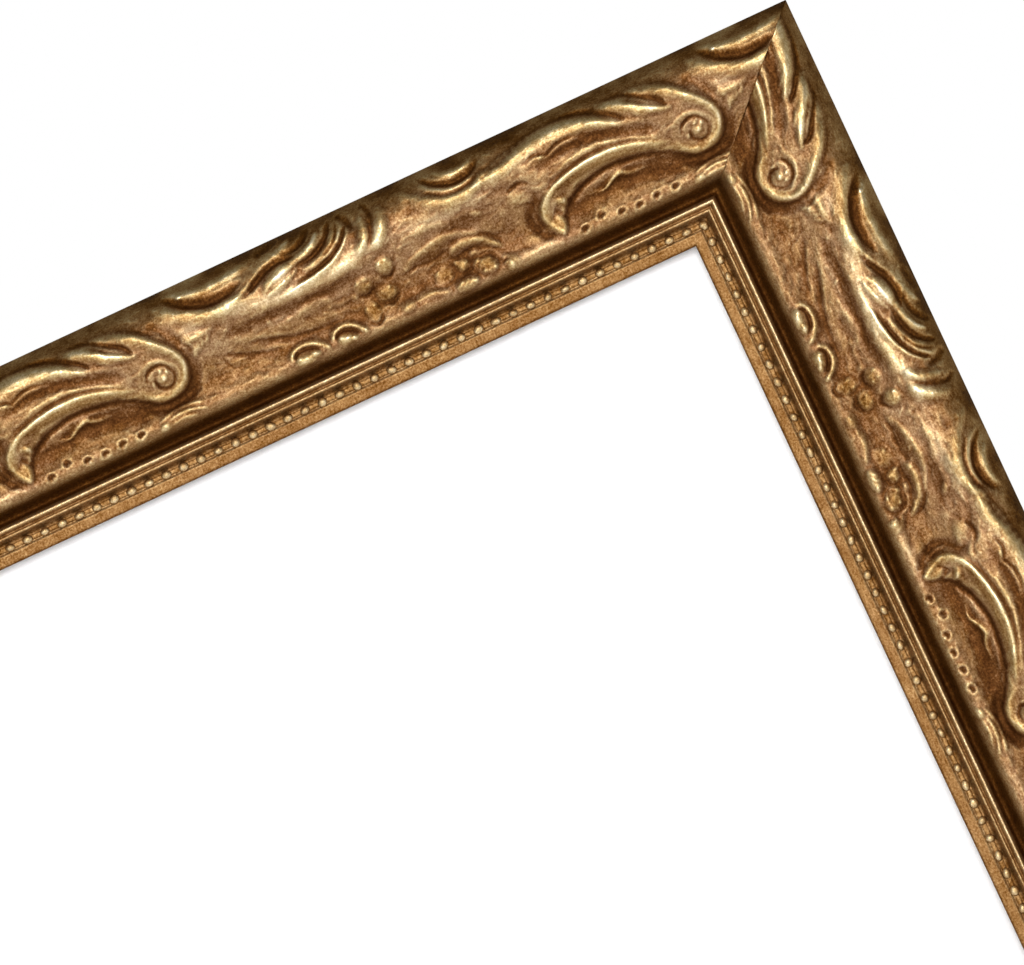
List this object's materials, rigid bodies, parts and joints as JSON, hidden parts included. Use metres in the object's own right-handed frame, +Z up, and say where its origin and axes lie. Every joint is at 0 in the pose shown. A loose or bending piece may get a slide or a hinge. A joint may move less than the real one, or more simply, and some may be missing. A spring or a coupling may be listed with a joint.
{
  "type": "ornate gilded picture frame",
  "caption": "Upright wall frame with a wide embossed gilt moulding, beaded sight edge, glazing, card, backing board, turn buttons and saw-tooth hangers.",
  "frame": {"origin": "on the wall, at the middle notch of the upper saw-tooth hanger, where the wall nail goes in", "axes": "+X to the viewer's right, +Y from the viewer into the wall, +Z up along the long rails"},
  "size_m": [0.3698, 0.0281, 0.446],
  "materials": {
    "gilded_wood": "antique gold leaf over carved composition",
    "glass": "clear",
    "white_card": "matte paper",
    "foam_board": "matte",
    "hardboard": "matte",
    "steel": "zinc plated",
    "brassed_steel": "brass plated",
    "soft_pad": "felt"
  },
  "bodies": {
    "frame": {"top_rail": "gilded_wood", "right_rail": "gilded_wood", "bottom_rail": "gilded_wood", "left_rail": "gilded_wood", "corner_v_nails": "steel", "glazing": "glass", "mount_card": "white_card", "filler_board": "foam_board", "turn_button_screws": "steel", "hanger_portrait": "brassed_steel", "hanger_landscape": "brassed_steel", "hanger_nails": "steel", "wall_pads": "soft_pad"},
    "backing": {"backing_board": "hardboard"},
    "button_1": {"turn_button_1": "steel"},
    "button_2": {"turn_button_2": "steel"},
    "button_3": {"turn_button_3": "steel"},
    "button_4": {"turn_button_4": "steel"},
    "button_5": {"turn_button_5": "steel"},
    "button_6": {"turn_button_6": "steel"},
    "button_7": {"turn_button_7": "steel"},
    "button_8": {"turn_button_8": "steel"}
  },
  "joints": [
    {"name": "backing_lift_out", "type": "slide", "parent": "frame", "child": "backing", "axis": [0, 1, 0], "range_m": [0, 0.04]},
    {"name": "button_1_turn", "type": "hinge", "parent": "frame", "child": "button_1", "pos_m": [-0.065, -0.0028, -0.011], "axis": [0, 1, 0], "continuous": true},
    {"name": "button_2_turn", "type": "hinge", "parent": "frame", "child": "button_2", "pos_m": [0.065, -0.0028, -0.011], "axis": [0, 1, 0], "continuous": true},
    {"name": "button_3_turn", "type": "hinge", "parent": "frame", "child": "button_3", "pos_m": [0.1499, -0.0028, -0.099], "axis": [0, 1, 0], "continuous": true},
    {"name": "button_4_turn", "type": "hinge", "parent": "frame", "child": "button_4", "pos_m": [0.1499, -0.0028, -0.299], "axis": [0, 1, 0], "continuous": true},
    {"name": "button_5_turn", "type": "hinge", "parent": "frame", "child": "button_5", "pos_m": [0.065, -0.0028, -0.387], "axis": [0, 1, 0], "continuous": true},
    {"name": "button_6_turn", "type": "hinge", "parent": "frame", "child": "button_6", "pos_m": [-0.065, -0.0028, -0.387], "axis": [0, 1, 0], "continuous": true},
    {"name": "button_7_turn", "type": "hinge", "parent": "frame", "child": "button_7", "pos_m": [-0.1499, -0.0028, -0.299], "axis": [0, 1, 0], "continuous": true},
    {"name": "button_8_turn", "type": "hinge", "parent": "frame", "child": "button_8", "pos_m": [-0.1499, -0.0028, -0.099], "axis": [0, 1, 0], "continuous": true}
  ]
}
